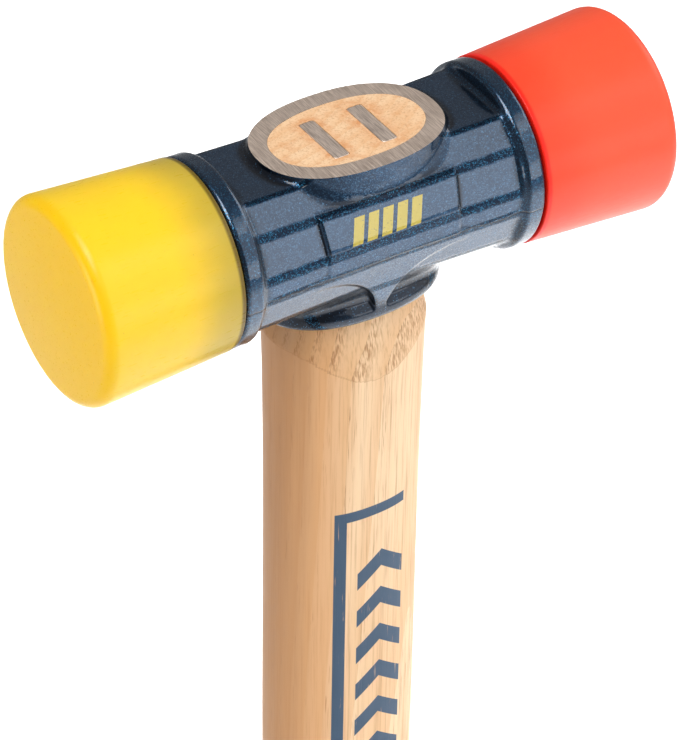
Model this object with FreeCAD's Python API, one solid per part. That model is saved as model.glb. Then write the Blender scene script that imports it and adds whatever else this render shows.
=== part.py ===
"""Two-faced dead blow hammer: cast head, wedged wooden handle, screw-on plastic tips.

Frame: millimetres, +Z up the handle, X along the head.  The origin is the centre of the
handle's butt.  The hard tip is at -X, the soft tip at +X, and the head is the same on both
flanks (-Y and +Y).
"""
import FreeCAD, Part
import math
import os

# ---------------------------------------------------------------- driving dimensions (mm)
OVERALL_LENGTH = 318.0        # butt of the handle to the ground top of the boss
OVAL_POWER = 2.3              # squareness of every oval section, 2 is an ellipse
OVAL_POINTS = 40              # points round an oval outline

# Head body
FLANGE_SPAN = 56.2            # over the two flange faces
FLANGE_WIDTH = 3.6
FLANGE_RISE = 0.85            # of the flange above the body's arrises
FLANGE_EDGE = 0.8             # rounding of the outer edge
FLANGE_COVE = 0.8             # hollow where the flange meets the body
BODY_ARRISES = (32.0, 55.0, 82.5)   # degrees from the top, repeated on all four quarters
BODY_END_DIAMETER = 30.3      # over the arrises, beside the flanges
BODY_WAIST_DEPTH = 0.7        # how much slimmer each flank is at mid length

# Eye, filled by the tenon
EYE_TOP_LENGTH = 27.1
EYE_TOP_WIDTH = 16.3
EYE_WAIST_LENGTH = 25.6
EYE_WAIST_WIDTH = 15.8
EYE_BOTTOM_LENGTH = 26.2
EYE_BOTTOM_WIDTH = 18.4

# Boss round the top of the eye, and collar round its bottom
BOSS_RISE = 1.55              # ground face above the body's top flat
BOSS_END_WALL = 2.85
BOSS_SIDE_WALL = 3.2
BOSS_DRAFT = 7.0              # degrees
COLLAR_DROP = 4.05            # lower rim below the body's bottom flat
COLLAR_END_WALL = 3.35
COLLAR_SIDE_WALL = 1.8
COLLAR_HEIGHT = 2.6           # of the bulging rim
COLLAR_EDGE = 0.7             # rounding of the lower rim
NECK_INSET = 1.2              # hollow between the body and the collar

# Plaque and gusset on each flank
PLAQUE_LENGTH = 24.4
PLAQUE_RISE = 0.85            # of its upper face, above the facet it stands on
PLAQUE_SIDE_RISE = 0.45       # of its narrow lower face
PLAQUE_DROP = 1.7             # lower edge below the head axis
PLAQUE_EDGE = 0.55            # rounding of its edges
GUSSET_TOP = 2.6              # top edge below the head axis
GUSSET_TOP_INSET = 0.15       # top edge, inside the body's arrises
GUSSET_FOOT_INSET = 0.4       # foot, inside the collar's rim
GUSSET_FOOT_WIDTH = 2.4
GUSSET_SCALLOP = 11.0         # radius of the hollow each side

# Threaded spigots, and the shot chambers inside them
SPIGOT_LENGTH = 9.0
SPIGOT_DIAMETER = 22.0
SPIGOT_WALL = 1.6             # under the thread
THREAD_PITCH = 1.5
THREAD_DEPTH = 0.9
THREAD_RELIEF = 1.5           # plain neck at the root of the thread
THREAD_CREST = 0.12           # width of a crest, as a share of the pitch
THREAD_CLEARANCE = 0.05       # radial, insert bore over the thread
EYE_WEB = 4.2                 # metal between the eye and each chamber
PLUG_THICKNESS = 2.6
PLUG_WALL = 1.2
PLUG_DISH = 1.4               # depth of the hollow in the plug
SHOT_DIAMETER = 4.0
SHOT_GAP = 0.05               # between balls, and to the chamber wall
SHOT_FILL = 0.7               # share of the chamber's length that the shot takes

# Tips and the threaded inserts moulded into them
TIP_LENGTH = 26.0
TIP_OVERHANG = 0.15           # base over the flange, radial
TIP_FACE_DIAMETER = 35.0
TIP_EDGE = 2.2                # rounding of the strike face's edge
TIP_DOME = 0.6                # rise of the strike face
TIP_STAND_OFF = 0.15          # plastic clear of the flange
TIP_FLOOR_GAP = 0.6           # spigot end to the floor of the socket
INSERT_WALL = 2.2             # outside the thread
INSERT_GROOVE_DEPTH = 0.8
INSERT_GROOVE_WIDTH = 1.4
INSERT_GROOVES = 2
BOND_GAP = 0.05               # bond line round the insert

# Wedges
WEDGE_SPACING = 8.9
WEDGE_LENGTH = 11.0
WEDGE_THICKNESS = 2.75
WEDGE_TIP_THICKNESS = 0.9
WEDGE_DEPTH = 16.0
WEDGE_BARBS = 4
WEDGE_BARB_STEP = 0.22
WEDGE_OFFSET = -0.35          # of both wedges along Y

# Handle below the head
SHOULDER_STEP = 0.5           # seat against the collar, round the tenon
SHOULDER_SWELL = 0.8          # from the collar to the shoulder's widest section, each side
SHOULDER_DROP = 11.5          # the same, downwards
SHAFT_DROP = 27.0             # from the collar to where the shaft runs parallel
SHAFT_LENGTH = 27.2
SHAFT_WIDTH = 20.6
GRIP_NECK_HEIGHT = 122.0      # above the butt
GRIP_NECK_LENGTH = 26.6
GRIP_NECK_WIDTH = 20.2
GRIP_SWELL_HEIGHT = 58.0
GRIP_SWELL_LENGTH = 31.0
GRIP_SWELL_WIDTH = 22.8
BUTT_LENGTH = 29.6
BUTT_WIDTH = 21.6
BUTT_EDGE = 2.5               # rounding of the butt

# ---------------------------------------------------------------- derived places
BODY_WAIST_DIAMETER = BODY_END_DIAMETER - 2 * BODY_WAIST_DEPTH
BODY_FLAT = BODY_WAIST_DIAMETER / 2 * math.cos(math.radians(BODY_ARRISES[0]))
BOSS_HEIGHT = BODY_FLAT + BOSS_RISE
BOSS_LENGTH = EYE_TOP_LENGTH + 2 * BOSS_END_WALL
BOSS_WIDTH = EYE_TOP_WIDTH + 2 * BOSS_SIDE_WALL
COLLAR_DEPTH = BODY_FLAT + COLLAR_DROP
COLLAR_LENGTH = EYE_BOTTOM_LENGTH + 2 * COLLAR_END_WALL
COLLAR_WIDTH = EYE_BOTTOM_WIDTH + 2 * COLLAR_SIDE_WALL
HEAD_Z = OVERALL_LENGTH - BOSS_HEIGHT
FLANGE_DIAMETER = BODY_END_DIAMETER + 2 * FLANGE_RISE
FLANGE_FACE = FLANGE_SPAN / 2
FLANGE_INNER = FLANGE_FACE - FLANGE_WIDTH
SPIGOT_END = FLANGE_FACE + SPIGOT_LENGTH
TIP_START = FLANGE_FACE + TIP_STAND_OFF
TIP_END = TIP_START + TIP_LENGTH
TIP_BASE_DIAMETER = FLANGE_DIAMETER + 2 * TIP_OVERHANG
INSERT_DIAMETER = SPIGOT_DIAMETER + 2 * INSERT_WALL
CHAMBER_DIAMETER = SPIGOT_DIAMETER - 2 * (THREAD_DEPTH + SPIGOT_WALL)
CHAMBER_START = EYE_WAIST_LENGTH / 2 + EYE_WEB
CHAMBER_END = SPIGOT_END - PLUG_THICKNESS
COLLAR_Z = HEAD_Z - COLLAR_DEPTH
CORE_RADIUS = EYE_WAIST_WIDTH / 2   # hidden inner end of features that join the body

X_AXIS = FreeCAD.Vector(1, 0, 0)
Y_AXIS = FreeCAD.Vector(0, 1, 0)
ORIGIN = FreeCAD.Vector(0, 0, 0)


def point(x, y, z):
    return FreeCAD.Vector(x, y, z)


# ---------------------------------------------------------------- shape helpers
def oval(length, width, z):
    """Closed superellipse outline in a horizontal plane."""
    points = []
    for step in range(OVAL_POINTS):
        angle = 2 * math.pi * step / OVAL_POINTS
        across, along = math.sin(angle), math.cos(angle)
        x = math.copysign(abs(along) ** (2 / OVAL_POWER), along) * length / 2
        y = math.copysign(abs(across) ** (2 / OVAL_POWER), across) * width / 2
        points.append(point(x, y, z))
    curve = Part.BSplineCurve()
    curve.interpolate(points, PeriodicFlag=True)
    return Part.Wire(curve.toShape())


def oval_loft(sections, ruled=True):
    """Solid through (length, width, z) oval sections."""
    return Part.makeLoft([oval(*section) for section in sections], True, ruled)


def polygon(corners):
    return Part.makePolygon(corners + corners[:1])


def prism(corners, sweep):
    """Flat outline pushed along a vector."""
    return Part.Face(polygon(corners)).extrude(sweep)


def line(start, end):
    return Part.LineSegment(start, end).toShape()


def arc(start, middle, end):
    return Part.Arc(start, middle, end).toShape()


def turned(edges):
    """Solid of revolution about the X axis from edges in the XY plane."""
    return Part.Face(Part.Wire(edges)).revolve(ORIGIN, X_AXIS, 360)


def turned_outline(corners):
    """Solid of revolution from a straight-sided outline of (x, radius) corners."""
    return Part.Face(polygon([point(x, radius, 0) for x, radius in corners])).revolve(
        ORIGIN, X_AXIS, 360)


def disc(start, end, diameter):
    """Cylinder on the X axis between two places."""
    return Part.makeCylinder(diameter / 2, end - start, point(start, 0, 0), X_AXIS)


def round_corner(corner, radius, start_turn, end_turn):
    """Quarter arc inside a corner; the turns are degrees about its centre."""
    places = []
    for turn in (start_turn, (start_turn + end_turn) / 2, end_turn):
        angle = math.radians(turn)
        places.append(point(corner[0] + radius * math.cos(angle),
                            corner[1] + radius * math.sin(angle), 0))
    return places


def to_side(shape, side):
    """Piece made for the +X end, at head height, on the chosen end (1 or -1)."""
    placed = shape.copy()
    if side < 0:
        placed = placed.mirror(ORIGIN, X_AXIS)
    placed.translate(point(0, 0, HEAD_Z))
    return placed


def join(shapes):
    return shapes[0].fuse(shapes[1:]).removeSplitter()


# ---------------------------------------------------------------- head casting
def body_section(x, diameter):
    """Faceted outline across the head, with a wide flat on top and below."""
    quarter = list(BODY_ARRISES)
    half = quarter + [180 - turn for turn in reversed(quarter)]
    corners = []
    for turn in half + [360 - turn for turn in reversed(half)]:
        angle = math.radians(turn)
        corners.append(point(x, diameter / 2 * math.sin(angle), diameter / 2 * math.cos(angle)))
    return polygon(corners)


def faceted_body():
    reach = FLANGE_INNER + FLANGE_WIDTH / 2
    sections = [body_section(-reach, BODY_END_DIAMETER), body_section(0, BODY_WAIST_DIAMETER),
                body_section(reach, BODY_END_DIAMETER)]
    return Part.makeLoft(sections, True, True)


def flange():
    """Bead at the +X end, with a cove to the body and a rounded outer edge."""
    rim = FLANGE_DIAMETER / 2
    foot = BODY_END_DIAMETER / 2 - FLANGE_COVE / 2
    cove = round_corner((FLANGE_INNER - FLANGE_COVE, foot + FLANGE_COVE), FLANGE_COVE, 270, 360)
    inner_edge = FLANGE_EDGE / 2
    inner = round_corner((FLANGE_INNER + inner_edge, rim - inner_edge), inner_edge, 180, 90)
    outer = round_corner((FLANGE_FACE - FLANGE_EDGE, rim - FLANGE_EDGE), FLANGE_EDGE, 90, 0)
    back = point(FLANGE_INNER - FLANGE_COVE, 0, 0)
    front = point(FLANGE_FACE, 0, 0)
    edges = [line(back, cove[0]), arc(*cove)]
    if (inner[0] - cove[2]).Length > 1e-6:
        edges.append(line(cove[2], inner[0]))
    edges += [arc(*inner), line(inner[2], outer[0]), arc(*outer), line(outer[2], front),
              line(front, back)]
    return turned(edges)


def spigot():
    """Tube end with thread ridges, closed towards the body."""
    major = SPIGOT_DIAMETER / 2
    minor = major - THREAD_DEPTH
    outline = [(FLANGE_INNER, 0), (FLANGE_INNER, minor), (FLANGE_FACE + THREAD_RELIEF, minor)]
    ridges = int((SPIGOT_LENGTH - THREAD_RELIEF) / THREAD_PITCH)
    for ridge in range(ridges):
        start = FLANGE_FACE + THREAD_RELIEF + ridge * THREAD_PITCH
        rise = THREAD_PITCH * (1 - THREAD_CREST) / 2
        outline += [(start + rise, major), (start + THREAD_PITCH - rise, major),
                    (start + THREAD_PITCH, minor)]
    outline += [(SPIGOT_END, minor), (SPIGOT_END, 0)]
    clean = [corner for i, corner in enumerate(outline) if corner != outline[i - 1]]
    return turned_outline(clean)


def boss():
    """Oval pad round the top of the eye, wider towards its root."""
    spread = 2 * BOSS_HEIGHT * math.tan(math.radians(BOSS_DRAFT))
    return oval_loft([(BOSS_LENGTH, BOSS_WIDTH, BOSS_HEIGHT),
                      (BOSS_LENGTH + spread, BOSS_WIDTH + spread, 0)])


def collar():
    """Neck under the body and the rounded rim that the handle's shoulder meets."""
    rim_top = -COLLAR_DEPTH + COLLAR_HEIGHT
    inset = 2 * COLLAR_EDGE
    body_root = -BODY_WAIST_DIAMETER / 4
    length, width = COLLAR_LENGTH - 2 * NECK_INSET, COLLAR_WIDTH - 2 * NECK_INSET
    neck = oval_loft([(length, width, body_root), (length, width, rim_top)])
    rim = oval_loft([(length, width, rim_top),
                     (COLLAR_LENGTH, COLLAR_WIDTH, rim_top + COLLAR_HEIGHT / 2),
                     (COLLAR_LENGTH, COLLAR_WIDTH, -COLLAR_DEPTH + COLLAR_EDGE),
                     (COLLAR_LENGTH - inset, COLLAR_WIDTH - inset, -COLLAR_DEPTH)])
    return join([neck, rim])


def plaque():
    """Raised two-plane plaque on the -Y flank."""
    upper, lower = math.radians(BODY_ARRISES[1]), math.radians(BODY_ARRISES[2])
    tilt = (upper + lower) / 2
    face = BODY_WAIST_DIAMETER / 2 * math.cos(tilt - upper) + PLAQUE_RISE
    side = BODY_WAIST_DIAMETER / 2 * math.sin(lower) + PLAQUE_SIDE_RISE
    top_radius = face / math.cos(tilt - upper)
    top_z = top_radius * math.cos(upper)
    side_z = (face - side * math.sin(tilt)) / math.cos(tilt)
    corners = [point(0, -top_radius * math.sin(upper), top_z),
               point(0, -side, side_z),
               point(0, -side, -PLAQUE_DROP),
               point(0, -CORE_RADIUS, -PLAQUE_DROP),
               point(0, -CORE_RADIUS, top_z)]
    slab = prism(corners, point(PLAQUE_LENGTH, 0, 0))
    slab.translate(point(-PLAQUE_LENGTH / 2, 0, 0))
    proud = [edge for edge in slab.Edges if edge.BoundBox.YMax < -CORE_RADIUS - PLAQUE_EDGE]
    return slab.makeFillet(PLAQUE_EDGE, proud)


def gusset():
    """V plate between the plaque and the collar on the -Y flank, hollowed each side."""
    foot_z = -COLLAR_DEPTH + COLLAR_EDGE
    reach = GUSSET_SCALLOP + GUSSET_FOOT_WIDTH / 2
    top_reach = BODY_WAIST_DIAMETER / 2 - GUSSET_TOP_INSET
    foot_reach = COLLAR_WIDTH / 2 - GUSSET_FOOT_INSET
    corners = [point(-reach, -top_reach, -GUSSET_TOP),
               point(-reach, -foot_reach, foot_z),
               point(-reach, -CORE_RADIUS, foot_z),
               point(-reach, -CORE_RADIUS, -GUSSET_TOP)]
    plate = prism(corners, point(2 * reach, 0, 0))
    for side in (1, -1):
        hollow = Part.makeCylinder(GUSSET_SCALLOP, 2 * top_reach,
                                   point(side * reach, 0, foot_z), -Y_AXIS)
        plate = plate.cut(hollow)
    return plate


def eye_sections():
    """Hourglass eye, from the boss face down to the collar rim."""
    return [(EYE_TOP_LENGTH, EYE_TOP_WIDTH, BOSS_HEIGHT),
            (EYE_WAIST_LENGTH, EYE_WAIST_WIDTH, 0),
            (EYE_BOTTOM_LENGTH, EYE_BOTTOM_WIDTH, -COLLAR_DEPTH)]


def head_casting():
    solid = join([faceted_body(), flange(), flange().mirror(ORIGIN, X_AXIS), boss(), collar(),
                  plaque(), plaque().mirror(ORIGIN, Y_AXIS), gusset(),
                  gusset().mirror(ORIGIN, Y_AXIS), spigot(), spigot().mirror(ORIGIN, X_AXIS)])
    chamber = disc(CHAMBER_START, SPIGOT_END, CHAMBER_DIAMETER)
    solid = solid.cut([oval_loft(eye_sections()), chamber, chamber.mirror(ORIGIN, X_AXIS)])
    solid.translate(point(0, 0, HEAD_Z))
    return solid


# ---------------------------------------------------------------- handle and wedges
def wedge(side):
    """Barbed steel wedge, ground flush with the boss."""
    middle = side * WEDGE_SPACING / 2
    top, tip = WEDGE_THICKNESS / 2, WEDGE_TIP_THICKNESS / 2
    flank = []
    for barb in range(WEDGE_BARBS):
        start, end = barb / WEDGE_BARBS, (barb + 1) / WEDGE_BARBS
        flank.append((top + (tip - top) * start, -WEDGE_DEPTH * start))
        flank.append((top + (tip - top) * end - WEDGE_BARB_STEP, -WEDGE_DEPTH * end))
    right = [point(middle + reach, 0, depth) for reach, depth in flank]
    left = [point(middle - reach, 0, depth) for reach, depth in reversed(flank)]
    solid = prism(right + left, point(0, WEDGE_LENGTH, 0))
    solid.translate(point(0, WEDGE_OFFSET - WEDGE_LENGTH / 2, OVERALL_LENGTH))
    return solid


def shaft():
    """Handle below the collar: shoulder, shaft, grip swell and rounded butt."""
    seat = 2 * SHOULDER_STEP
    swell = seat + 2 * SHOULDER_SWELL
    widest = (EYE_BOTTOM_LENGTH + swell, EYE_BOTTOM_WIDTH + swell, COLLAR_Z - SHOULDER_DROP)
    shoulder = oval_loft([(EYE_BOTTOM_LENGTH + seat, EYE_BOTTOM_WIDTH + seat, COLLAR_Z), widest])
    grip = oval_loft([widest,
                      (SHAFT_LENGTH, SHAFT_WIDTH, COLLAR_Z - SHAFT_DROP),
                      (GRIP_NECK_LENGTH, GRIP_NECK_WIDTH, GRIP_NECK_HEIGHT),
                      (GRIP_SWELL_LENGTH, GRIP_SWELL_WIDTH, GRIP_SWELL_HEIGHT),
                      (BUTT_LENGTH, BUTT_WIDTH, 0)], ruled=False)
    butt_edges = [edge for edge in grip.Edges if edge.BoundBox.ZMax < BUTT_EDGE]
    return shoulder, grip.makeFillet(BUTT_EDGE, butt_edges)


def handle(wedges):
    """Tenon in the eye, slotted by the wedges, and everything below the head."""
    tenon = oval_loft([(length, width, z + HEAD_Z) for length, width, z in eye_sections()])
    shoulder, grip = shaft()
    return join([tenon, shoulder, grip]).cut(wedges)


# ---------------------------------------------------------------- tips and shot chambers
def insert_outline(gap):
    """(x, radius) outline of the insert's outside, grown by a gap."""
    rim = INSERT_DIAMETER / 2 + gap
    floor = rim - INSERT_GROOVE_DEPTH
    outline = [(FLANGE_FACE, 0), (FLANGE_FACE, rim)]
    land = (SPIGOT_LENGTH - INSERT_GROOVES * INSERT_GROOVE_WIDTH) / (INSERT_GROOVES + 1)
    for groove in range(INSERT_GROOVES):
        start = FLANGE_FACE + land + groove * (land + INSERT_GROOVE_WIDTH) + gap
        end = start + INSERT_GROOVE_WIDTH - 2 * gap
        outline += [(start, rim), (start, floor), (end, floor), (end, rim)]
    return outline + [(SPIGOT_END + gap, rim), (SPIGOT_END + gap, 0)]


def insert():
    """Steel ring that carries the tip's thread."""
    bore = SPIGOT_DIAMETER + 2 * THREAD_CLEARANCE
    return turned_outline(insert_outline(0)).cut(disc(FLANGE_FACE, SPIGOT_END, bore))


def tip():
    """Plastic tip, tapering out to a slightly domed strike face."""
    base, face = TIP_BASE_DIAMETER / 2, TIP_FACE_DIAMETER / 2
    rim = TIP_END - TIP_DOME
    edge = round_corner((rim - TIP_EDGE, face - TIP_EDGE), TIP_EDGE, 90, 0)
    centre = point(TIP_END, 0, 0)
    dome_radius = ((face - TIP_EDGE) ** 2 + TIP_DOME ** 2) / (2 * TIP_DOME)
    dome_turn = math.asin((face - TIP_EDGE) / dome_radius) / 2
    dome_middle = point(TIP_END - dome_radius * (1 - math.cos(dome_turn)),
                        dome_radius * math.sin(dome_turn), 0)
    start, axis_start = point(TIP_START, base, 0), point(TIP_START, 0, 0)
    blank = turned([line(axis_start, start), line(start, edge[0]), arc(*edge),
                    arc(edge[2], dome_middle, centre), line(centre, axis_start)])
    bore = disc(FLANGE_FACE, SPIGOT_END + TIP_FLOOR_GAP, SPIGOT_DIAMETER)
    return blank.cut([turned_outline(insert_outline(BOND_GAP)), bore])


def plug():
    """Dished steel disc pressed into the chamber mouth."""
    solid = disc(CHAMBER_END, SPIGOT_END, CHAMBER_DIAMETER)
    dish = disc(SPIGOT_END - PLUG_DISH, SPIGOT_END, CHAMBER_DIAMETER - 2 * PLUG_WALL)
    return solid.cut(dish)


def shot():
    """Layers of loose balls in rings, resting against the plug."""
    pitch = SHOT_DIAMETER + SHOT_GAP
    layers = int(SHOT_FILL * (CHAMBER_END - CHAMBER_START) / pitch)
    balls = []
    radius = (CHAMBER_DIAMETER - SHOT_DIAMETER) / 2 - SHOT_GAP
    while radius > pitch / 2:
        count = int(math.pi / math.asin(pitch / 2 / radius))
        for ball in range(count * layers):
            angle = 2 * math.pi * ball / count
            x = CHAMBER_END - SHOT_GAP - SHOT_DIAMETER / 2 - ball // count * pitch
            centre = point(x, radius * math.cos(angle), radius * math.sin(angle))
            balls.append(Part.makeSphere(SHOT_DIAMETER / 2, centre))
        radius -= pitch
    return Part.makeCompound(balls)


# ---------------------------------------------------------------- build
def build():
    wedges = [wedge(-1), wedge(1)]
    parts = {"head_casting": head_casting(), "handle": handle(wedges),
             "wedge_left": wedges[0], "wedge_right": wedges[1]}
    for side, name in ((-1, "hard"), (1, "soft")):
        parts[name + "_tip"] = to_side(tip(), side)
        parts[name + "_tip_insert"] = to_side(insert(), side)
        parts[name + "_side_plug"] = to_side(plug(), side)
        parts[name + "_side_shot"] = to_side(shot(), side)
    return parts


os.makedirs("parts", exist_ok=True)
for node, shape in build().items():
    shape.exportStep("parts/" + node + ".step")
    box = shape.BoundBox
    print(node, "valid" if shape.isValid() else "INVALID", len(shape.Solids), "solid(s)",
          round(shape.Volume, 1), "mm3, Z", round(box.ZMin, 2), "to", round(box.ZMax, 2))
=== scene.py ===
"""Looks of a two-faced dead blow hammer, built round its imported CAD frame.

Blender works in metres. Sizes in this script are millimetres and are scaled on the way in.
The head's own coordinates have their origin where the head's axis crosses the handle's.
"""
import math

import bmesh
import bpy
import numpy as np
import openvdb
from mathutils import Matrix, Vector


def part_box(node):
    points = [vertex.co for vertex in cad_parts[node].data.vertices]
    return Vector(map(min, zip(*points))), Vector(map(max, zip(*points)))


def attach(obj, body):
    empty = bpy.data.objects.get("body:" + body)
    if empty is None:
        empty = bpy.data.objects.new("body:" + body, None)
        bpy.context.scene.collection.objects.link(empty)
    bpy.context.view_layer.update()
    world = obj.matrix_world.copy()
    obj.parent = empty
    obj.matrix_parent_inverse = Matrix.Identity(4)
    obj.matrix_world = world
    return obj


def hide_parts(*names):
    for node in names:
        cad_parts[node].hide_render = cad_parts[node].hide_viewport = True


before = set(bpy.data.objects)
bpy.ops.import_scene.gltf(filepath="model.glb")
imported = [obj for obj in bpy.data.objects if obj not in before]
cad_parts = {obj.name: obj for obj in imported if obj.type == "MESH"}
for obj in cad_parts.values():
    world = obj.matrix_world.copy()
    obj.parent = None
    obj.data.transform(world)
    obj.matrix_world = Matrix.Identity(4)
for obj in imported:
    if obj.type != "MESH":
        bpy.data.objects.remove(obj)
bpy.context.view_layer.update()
MM = 0.001

# ---- places read from the frame (mm)
TIP_LOW, TIP_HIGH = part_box("soft_tip")
AXIS_Z = (TIP_LOW[2] + TIP_HIGH[2]) / 2 / MM
TOP_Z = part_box("handle")[1][2] / MM
BOSS_TOP = TOP_Z - AXIS_Z
FLANGE_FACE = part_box("soft_tip_insert")[0][0] / MM
SPIGOT_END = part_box("head_casting")[1][0] / MM
TIP_START = TIP_LOW[0] / MM
TIP_END = TIP_HIGH[0] / MM
TIP_RADIUS = (TIP_HIGH[2] - TIP_LOW[2]) / 2 / MM

HEAD_BODY = "head_and_handle"


# ---- mesh helpers
def new_object(name, data):
    """Object in the scene, around a mesh, a lamp or a camera."""
    piece = bpy.data.objects.new(name, data)
    bpy.context.scene.collection.objects.link(piece)
    return piece


def mesh_from(name, points, faces):
    """Smooth mesh object from points in millimetres."""
    mesh = bpy.data.meshes.new(name)
    mesh.from_pydata((np.asarray(points) * MM).tolist(), [], faces)
    mesh.update()
    mesh.shade_smooth()
    return new_object(name, mesh)


def grid_faces(rows, columns):
    """Quads of a tube: rows of points, each row a closed ring."""
    faces = []
    for row in range(rows - 1):
        for column in range(columns):
            after = (column + 1) % columns
            here = row * columns
            faces.append((here + column, here + after, here + columns + after,
                          here + columns + column))
    return faces


def rework(piece, *steps):
    """Turns the faces of a piece outwards, then runs further steps on its mesh."""
    shape = bmesh.new()
    shape.from_mesh(piece.data)
    bmesh.ops.recalc_face_normals(shape, faces=shape.faces)
    for step in steps:
        step(shape)
    shape.to_mesh(piece.data)
    shape.free()


# ---- head casting as a distance field
VOXEL = 0.2
MARGIN = 12  # voxels of air round the casting
EDGE_REACH = 3  # voxels averaged each way for the edge mask
HOLLOW_REACH = 9  # and for the hollow mask
ARRISES = (32.0, 55.0, 82.5)  # degrees from the top
WAIST_RADIUS = 14.45
END_RADIUS = 15.15
ARRIS_SOFTNESS = 0.5
BODY_INSET = 1.0  # from the flange's outer face inwards
FLANGE_WIDTH = 3.6
FLANGE_RADIUS = 16.0
FLANGE_EDGE = 0.9
FLANGE_FILLET = 1.1
OVAL_POWER = 2.3
BOSS_HALF = (16.4, 11.35)
BOSS_DRAFT = 7.0  # degrees
BOSS_FILLET = 1.3
EYE_TOP_HALF = (13.55, 8.15)
EYE_BOTTOM_HALF = (13.1, 9.2)
COLLAR_HALF = (16.4, 10.95)
COLLAR_DEPTH = 16.3
COLLAR_HEIGHT = 2.6
COLLAR_EDGE = 1.1
COLLAR_FILLET = 1.8
NECK_HALF = (15.2, 9.75)
NECK_TOP = -4.0
NECK_INSET = 1.0  # above the collar's underside
NECK_FILLET = 2.6
PLAQUE_HALF = 12.2
PLAQUE_RISE = 0.85
PLAQUE_SIDE_RISE = 0.45
PLAQUE_DROP = 1.7
PLAQUE_END_SLOPE = 0.25
PLAQUE_TOP_SLOPE = 0.35
PLAQUE_TOP_REACH = 12.0  # the sloping top edge passes its own height here
PLAQUE_EDGE = 0.4
PLAQUE_FILLET = 0.35
GUSSET_TOP_REACH = 14.35
GUSSET_FOOT_REACH = 10.5
GUSSET_FOOT_RISE = 0.7
GUSSET_SCALLOP = (13.2, 12.0)
GUSSET_FOOT_HALF = 0.9
GUSSET_EDGE = 0.4
GUSSET_END_EDGE = 0.5
GUSSET_TUCK = 0.3  # how far it reaches into the plaque
GUSSET_FILLET = 0.6
SEAM_Z = -1.55
SEAM_WAVES = ((0.22, 0.55, 0.6), (0.12, 1.7, 0.0))  # swing, radians per mm, start
SEAM_RISE = 0.1
SEAM_WIDTH = 0.3
CHAMBER_RADIUS = 8.5
CHAMBER_START = 17.0
GRIND_DEPTH = 2.0  # faces this near the boss's top can be ground
GRIND_REACH = 3.0


def blend_min(a, b, size):
    """Union of two distance fields with a fillet."""
    share = np.maximum(size - np.abs(a - b), 0) / size
    return np.minimum(a, b) - share * share * size / 4


def blend_max(a, b, size):
    """Intersection of two distance fields with a rounded edge."""
    return -blend_min(-a, -b, size)


def oval_field(x, y, half_length, half_width):
    """Approximate distance to an upright superellipse wall."""
    across = np.abs(x / half_length) ** OVAL_POWER
    along = np.abs(y / half_width) ** OVAL_POWER
    level = np.maximum(across + along, 1e-6) ** (1 / OVAL_POWER)
    slope_x = np.abs(x / half_length) ** (OVAL_POWER - 1) / half_length
    slope_y = np.abs(y / half_width) ** (OVAL_POWER - 1) / half_width
    slope = np.sqrt(slope_x ** 2 + slope_y ** 2) * level ** (1 - OVAL_POWER)
    return (level - 1) / np.maximum(slope, 1e-3)


def rounded_box(first, second, radius):
    """Rounded corner where two wall distances meet."""
    first, second = first + radius, second + radius
    outside = np.sqrt(np.maximum(first, 0) ** 2 + np.maximum(second, 0) ** 2)
    return outside + np.minimum(np.maximum(first, second), 0) - radius


def barrel_field(x, y, z):
    """Faceted waisted body, and how near each point is to an arris."""
    reach = FLANGE_FACE - FLANGE_WIDTH / 2
    radius = WAIST_RADIUS + (END_RADIUS - WAIST_RADIUS) * np.abs(x) / reach
    turns = [-ARRISES[0], *ARRISES, *[180 - turn for turn in reversed(ARRISES)],
             180 + ARRISES[0]]
    smooth = sharp = None
    for first, second in zip(turns, turns[1:]):
        middle = math.radians((first + second) / 2)
        spread = math.radians((second - first) / 2)
        wall = y * math.sin(middle) + z * math.cos(middle) - radius * math.cos(spread)
        smooth = wall if smooth is None else blend_max(smooth, wall, ARRIS_SOFTNESS)
        sharp = wall if sharp is None else np.maximum(sharp, wall)
    return smooth, (smooth - sharp) / (ARRIS_SOFTNESS / 4)


def plaque_field(x, y, z):
    """Raised plaque with an upper face parallel to its facet and a narrow upright one."""
    upper, lower = math.radians(ARRISES[1]), math.radians(ARRISES[2])
    tilt = (upper + lower) / 2
    face = WAIST_RADIUS * math.cos(tilt - upper) + PLAQUE_RISE
    side = WAIST_RADIUS * math.sin(lower) + PLAQUE_SIDE_RISE
    top = face / math.cos(tilt - upper) * math.cos(upper)
    walls = [y * math.sin(tilt) + z * math.cos(tilt) - face, y - side,
             np.abs(x) - PLAQUE_HALF - PLAQUE_END_SLOPE * (face - y),
             z - top + PLAQUE_TOP_SLOPE * (y - PLAQUE_TOP_REACH), -PLAQUE_DROP - z]
    solid = walls[0]
    for wall in walls[1:]:
        solid = blend_max(solid, wall, PLAQUE_EDGE)
    return solid


def gusset_field(x, y, z):
    """V plate under the plaque, hollowed by a scallop each side."""
    foot = -COLLAR_DEPTH + GUSSET_FOOT_RISE
    lean = math.atan2(GUSSET_TOP_REACH - GUSSET_FOOT_REACH, -PLAQUE_DROP - foot)
    front = (y - GUSSET_FOOT_REACH) * math.cos(lean) - (z - foot) * math.sin(lean)
    centre_x = GUSSET_SCALLOP[0] + GUSSET_FOOT_HALF
    inside = np.sqrt(((np.abs(x) - centre_x) / GUSSET_SCALLOP[0]) ** 2
                     + ((z - foot) / GUSSET_SCALLOP[1]) ** 2)
    hollow = (1 - inside) * GUSSET_SCALLOP[1]
    solid = blend_max(front, hollow, GUSSET_EDGE)
    solid = blend_max(solid, np.abs(x) - centre_x, GUSSET_END_EDGE)
    solid = np.maximum(solid, foot - z)
    return np.maximum(solid, z + PLAQUE_DROP - GUSSET_TUCK)


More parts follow.
